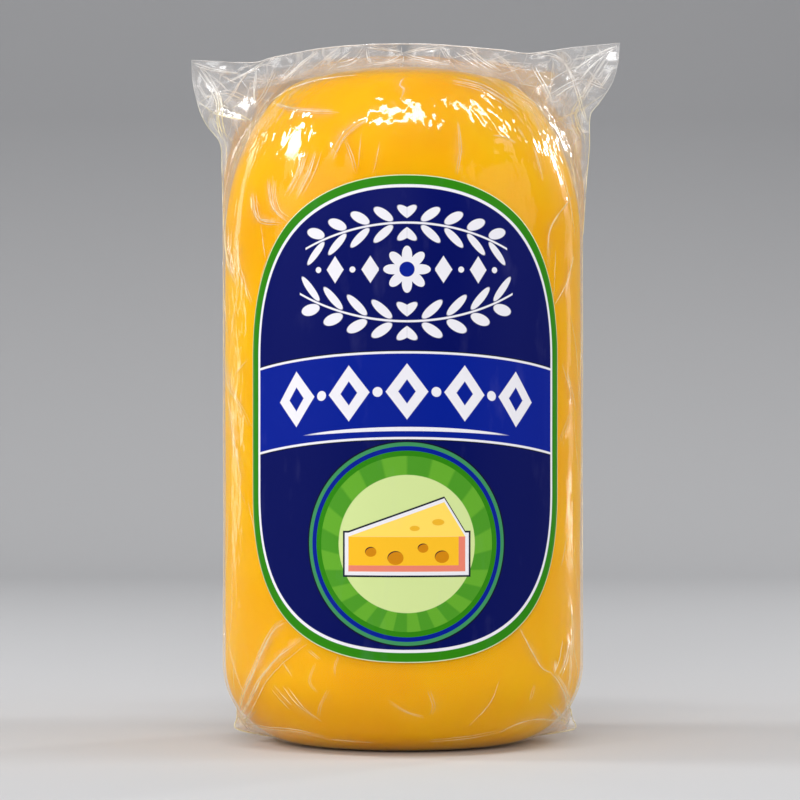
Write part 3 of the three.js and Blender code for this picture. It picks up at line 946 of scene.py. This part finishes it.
def wedge_of_cheese(make, u, v, colour):
    """A wedge seen from the front: a long face with holes, a lighter top and a rind."""
    side, above = abs(u) - WEDGE_HALF, v - WEDGE_TOP
    face = both(side, abs(v + 4.2) - 4.6)
    slopes = both(above - (u + WEDGE_HALF) * WEDGE_RISE, above + (u - WEDGE_HALF) * WEDGE_FALL)
    back = both(v * -1 + WEDGE_TOP, slopes)
    whole = either(face, back)
    colour = paint(make, colour, (both(whole - 1.5, side - 1.5), DARK), (both(whole - 1, side - 1), WHITE),
                   (face, AMBER), (back, LEMON), (both(side, abs(v + 8) - 0.8), RIND),
                   (both(face, abs(u - 14.6) - 0.9), RIND))
    for place_u, place_v, size in FACE_HOLES:
        across, up = u - place_u, (v - place_v) * 1.15
        hole, lit = disc(across, up, size), disc(across - 0.3, up + 0.5, size)
        colour = paint(make, colour, (hole, HOLE), (both(hole, 0.25 - lit), DARK))
    for place_u, place_v, size in TOP_HOLES:
        colour = paint(make, colour, (disc(u - place_u, (v - place_v) * 1.9, size), TOP_HOLE))
    return colour


def medal_print(make, u, v, colour):
    """A ringed disc of rays with a pale middle, and the wedge on it."""
    medal = disc(u, v, MEDAL)
    rays = ((v + RAYS_BELOW).math("ARCTAN2", u) * RAYS).math("SINE") * 3
    burst = make.mix((rays + 0.5).clamp(), LEAF, RAY)
    burst = paint(make, burst, (disc(u, v, MEDAL * HALO_SHARE), PALE))
    colour = paint(make, colour, (medal - 2.6, DARK), (medal - 2.2, TEAL), (medal - 1.2, ROYAL),
                   (medal, GREEN), (medal + 1.4, burst))
    return wedge_of_cheese(make, u, v - WEDGE_ABOVE, colour)


# %% The ribbon
RIBBON_MIDDLE, RIBBON_HALF, RIBBON_SAG = 96.0, 11.0, 0.0022
SIGN_PITCH, SIGN_HEIGHT, SIGN_REACH = 15.4, 1.0, 37.0
RULE_HALF, RULE_BELOW, RULE_THICKNESS = 27, 8.9, 0.55


def ribbon_print(make, u, v, colour):
    """A sagging ribbon with lozenges and dots over a thin rule."""
    ribbon = v - RIBBON_MIDDLE + u * u * RIBBON_SAG
    edge, up = abs(ribbon) - RIBBON_HALF, ribbon - SIGN_HEIGHT
    signs = lozenge(repeat(u, SIGN_PITCH), up, 5.6, 7.4)
    core = lozenge(repeat(u, SIGN_PITCH), up, 2.3, 3.2)
    dots = disc(repeat(u + SIGN_PITCH / 2, SIGN_PITCH), up, 1.3)
    rule = ((u / RULE_HALF) ** 2.0 + ((ribbon + RULE_BELOW) / RULE_THICKNESS) ** 2.0 - 1) * 0.5
    reach = abs(u) - SIGN_REACH
    return paint(make, colour, (edge - 0.9, DARK), (edge - 0.6, WHITE), (edge, ROYAL),
                 (either(both(either(signs, dots), reach), rule), WHITE), (both(core, reach), ROYAL))


# %% The whole print and the paper's finish
CUT_LINE, BORDER, KEYLINE = 0.25, 2.6, 3.4


def label_material():
    make = Recipe("printed label")
    flat = make.node("UVMap", {"uv_map": "flat"})
    u, v = (make.part(flat, 0) - 0.5) * UV_SPAN, make.part(flat, 1) * UV_SPAN
    colour = make.mix(((v - 60) / 90).clamp(), DEEP_NAVY, NAVY)
    colour = leaf_work(make, u, v, colour)
    colour = medal_print(make, u, v - MEDAL_MIDDLE, colour)
    colour = ribbon_print(make, u, v, colour)
    inset = make.stored("inset")
    colour = paint(make, colour, (inset - KEYLINE, WHITE), (inset - BORDER, GREEN), (inset - CUT_LINE, PEARL))
    place = make.place()
    scuff = (make.grain(place, 0.006, 4, (1, 1, 0.35)) * 3.2 - 1.9).clamp() * make.grain(place, 0.03, 1)
    colour = make.mix(scuff * 0.14, colour, SCUFF)
    crinkle = make.grain(place, 0.010, 2, (1, 1, 0.3)) + make.grain(place, 0.0012, 2) * 0.05
    return make.principled({"Base Color": colour, "Roughness": scuff * 0.2 + 0.42, "Specular IOR Level": 0.06,
                            "Normal": make.bump(crinkle, 0.25, 0.0005)})


label = label_piece(label_material())

# %% [markdown]
# ## Light, floor and camera
# A glossy bag shows every lamp. A long soft box above and in front and others to the sides give the broken
# white band round the shoulder, and narrow ones behind the sides draw the bright lines down the edges while
# they stay off the label. Three large ones fill the front. The camera is nearly a metre away, and level with
# the middle of the cheese.

# %% Floor and backdrop in one sweep
FLOOR_TONE, FLOOR_SPECK, WALL_SHADE_TONE = (0.60, 0.60, 0.61), (0.64, 0.64, 0.65), (0.34, 0.34, 0.35)
SWEEP_HALF, SWEEP_FRONT, BEND_START, BEND, WALL_TOP = 2200, -1500, 900, 500, 2400


def stage_piece():
    make = Recipe("pale paper sweep")
    tone = make.grain(make.place(), 0.4, 2)
    colour = make.mix(tone * 0.3, FLOOR_TONE, FLOOR_SPECK)
    # Painted shade: the sweep turns a darker grey as it rises into the wall, standing in for the lamps' light
    # falling off up the backdrop.
    colour = make.mix((make.part(make.place(), 2) * 3.4).clamp(), colour, WALL_SHADE_TONE)
    paper = make.principled({"Base Color": colour, "Roughness": 0.7})
    turn = np.linspace(0, math.pi / 2, 16)
    depth = np.concatenate([[SWEEP_FRONT], BEND_START + BEND * np.sin(turn), [BEND_START + BEND]])
    height = np.concatenate([[0], BEND * (1 - np.cos(turn)), [WALL_TOP]])
    points = [(x, y, z) for y, z in zip(depth, height) for x in (-SWEEP_HALF, SWEEP_HALF)]
    faces = [(2 * i, 2 * i + 1, 2 * i + 3, 2 * i + 2) for i in range(len(depth) - 1)]
    return mesh_piece("sweep", points, faces, paper)


stage_piece()


# %% Lamps
MIDDLE = Vector((0, 0, 0.11))


def soft_box(name, place, wide, high, watts, roll=0):
    """A lamp with a rectangular face that looks at the middle of the cheese, with sizes in metres."""
    lamp = bpy.data.lights.new(name, "AREA")
    lamp.shape, lamp.size, lamp.size_y, lamp.energy = "RECTANGLE", wide, high, watts
    holder = placed(name, lamp)
    holder.location = place
    facing = (MIDDLE - Vector(place)).to_track_quat("-Z", "Y")
    holder.rotation_euler = (facing @ Quaternion((0, 0, 1), math.radians(roll))).to_euler()


soft_box("overhead box", (-0.06, -0.50, 1.06), 0.64, 0.08, 3.6)
soft_box("right shoulder box", (0.59, -0.04, 0.96), 0.50, 0.07, 2.0, -57)
soft_box("left box", (-1.0, 0.06, 0.82), 0.26, 0.20, 4.5)
soft_box("right box", (0.82, 0.74, 0.52), 0.09, 0.20, 2.2)
soft_box("left edge box", (-0.72, 0.62, 0.25), 0.10, 0.6, 0.7)
soft_box("right edge box", (0.72, 0.60, 0.18), 0.10, 0.4, 0.22)
soft_box("right low box", (0.70, 0.58, 0.03), 0.14, 0.05, 0.14)
soft_box("left fill", (-1.7, -0.85, 0.68), 1.9, 1.1, 15)
soft_box("right fill", (1.75, -0.75, 0.66), 1.7, 1.1, 12)
soft_box("front fill", (-0.3, -2.1, 0.80), 1.2, 0.8, 14)
world = bpy.data.worlds.new("soft room")
world.use_nodes = True
background = world.node_tree.nodes["Background"]
background.inputs["Color"].default_value = (0.95, 0.97, 1.0, 1)
background.inputs["Strength"].default_value = 0.21
scene.world = world
scene.view_settings.view_transform = "Standard"
scene.cycles.transparent_max_bounces = 24

# %% Camera
FRAME_PIXELS, FOCAL_PIXELS = 800, 3300
AXIS_X, LEVEL_Y = 403, 410
CAMERA_DISTANCE, CAMERA_HEIGHT = 0.92, 0.0921
SENSOR = 36
lens = bpy.data.cameras.new("camera")
lens.sensor_width, lens.lens = SENSOR, SENSOR * FOCAL_PIXELS / FRAME_PIXELS
lens.clip_start = 0.05
camera = placed("camera", lens)
metres_per_pixel = CAMERA_DISTANCE / FOCAL_PIXELS
camera.location = ((FRAME_PIXELS / 2 - AXIS_X) * metres_per_pixel, -CAMERA_DISTANCE, CAMERA_HEIGHT)
camera.rotation_euler = (math.pi / 2 + (LEVEL_Y - FRAME_PIXELS / 2) / FOCAL_PIXELS, 0, 0)
scene.camera = camera

# %% [markdown]
# ## The pieces on the body
# Every piece rides on the part's one body. The cheese, the film and its creases stand for the solid bag, and
# the fine label for the plain one.

# %% Tie the pieces to the solid
for piece, node, slot in ((cheese, "bag", "cheese"), (film, "bag", "film"), (creases, "bag", "film"),
                          (label, "label", "label")):
    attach(piece, "root")
    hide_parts(node)
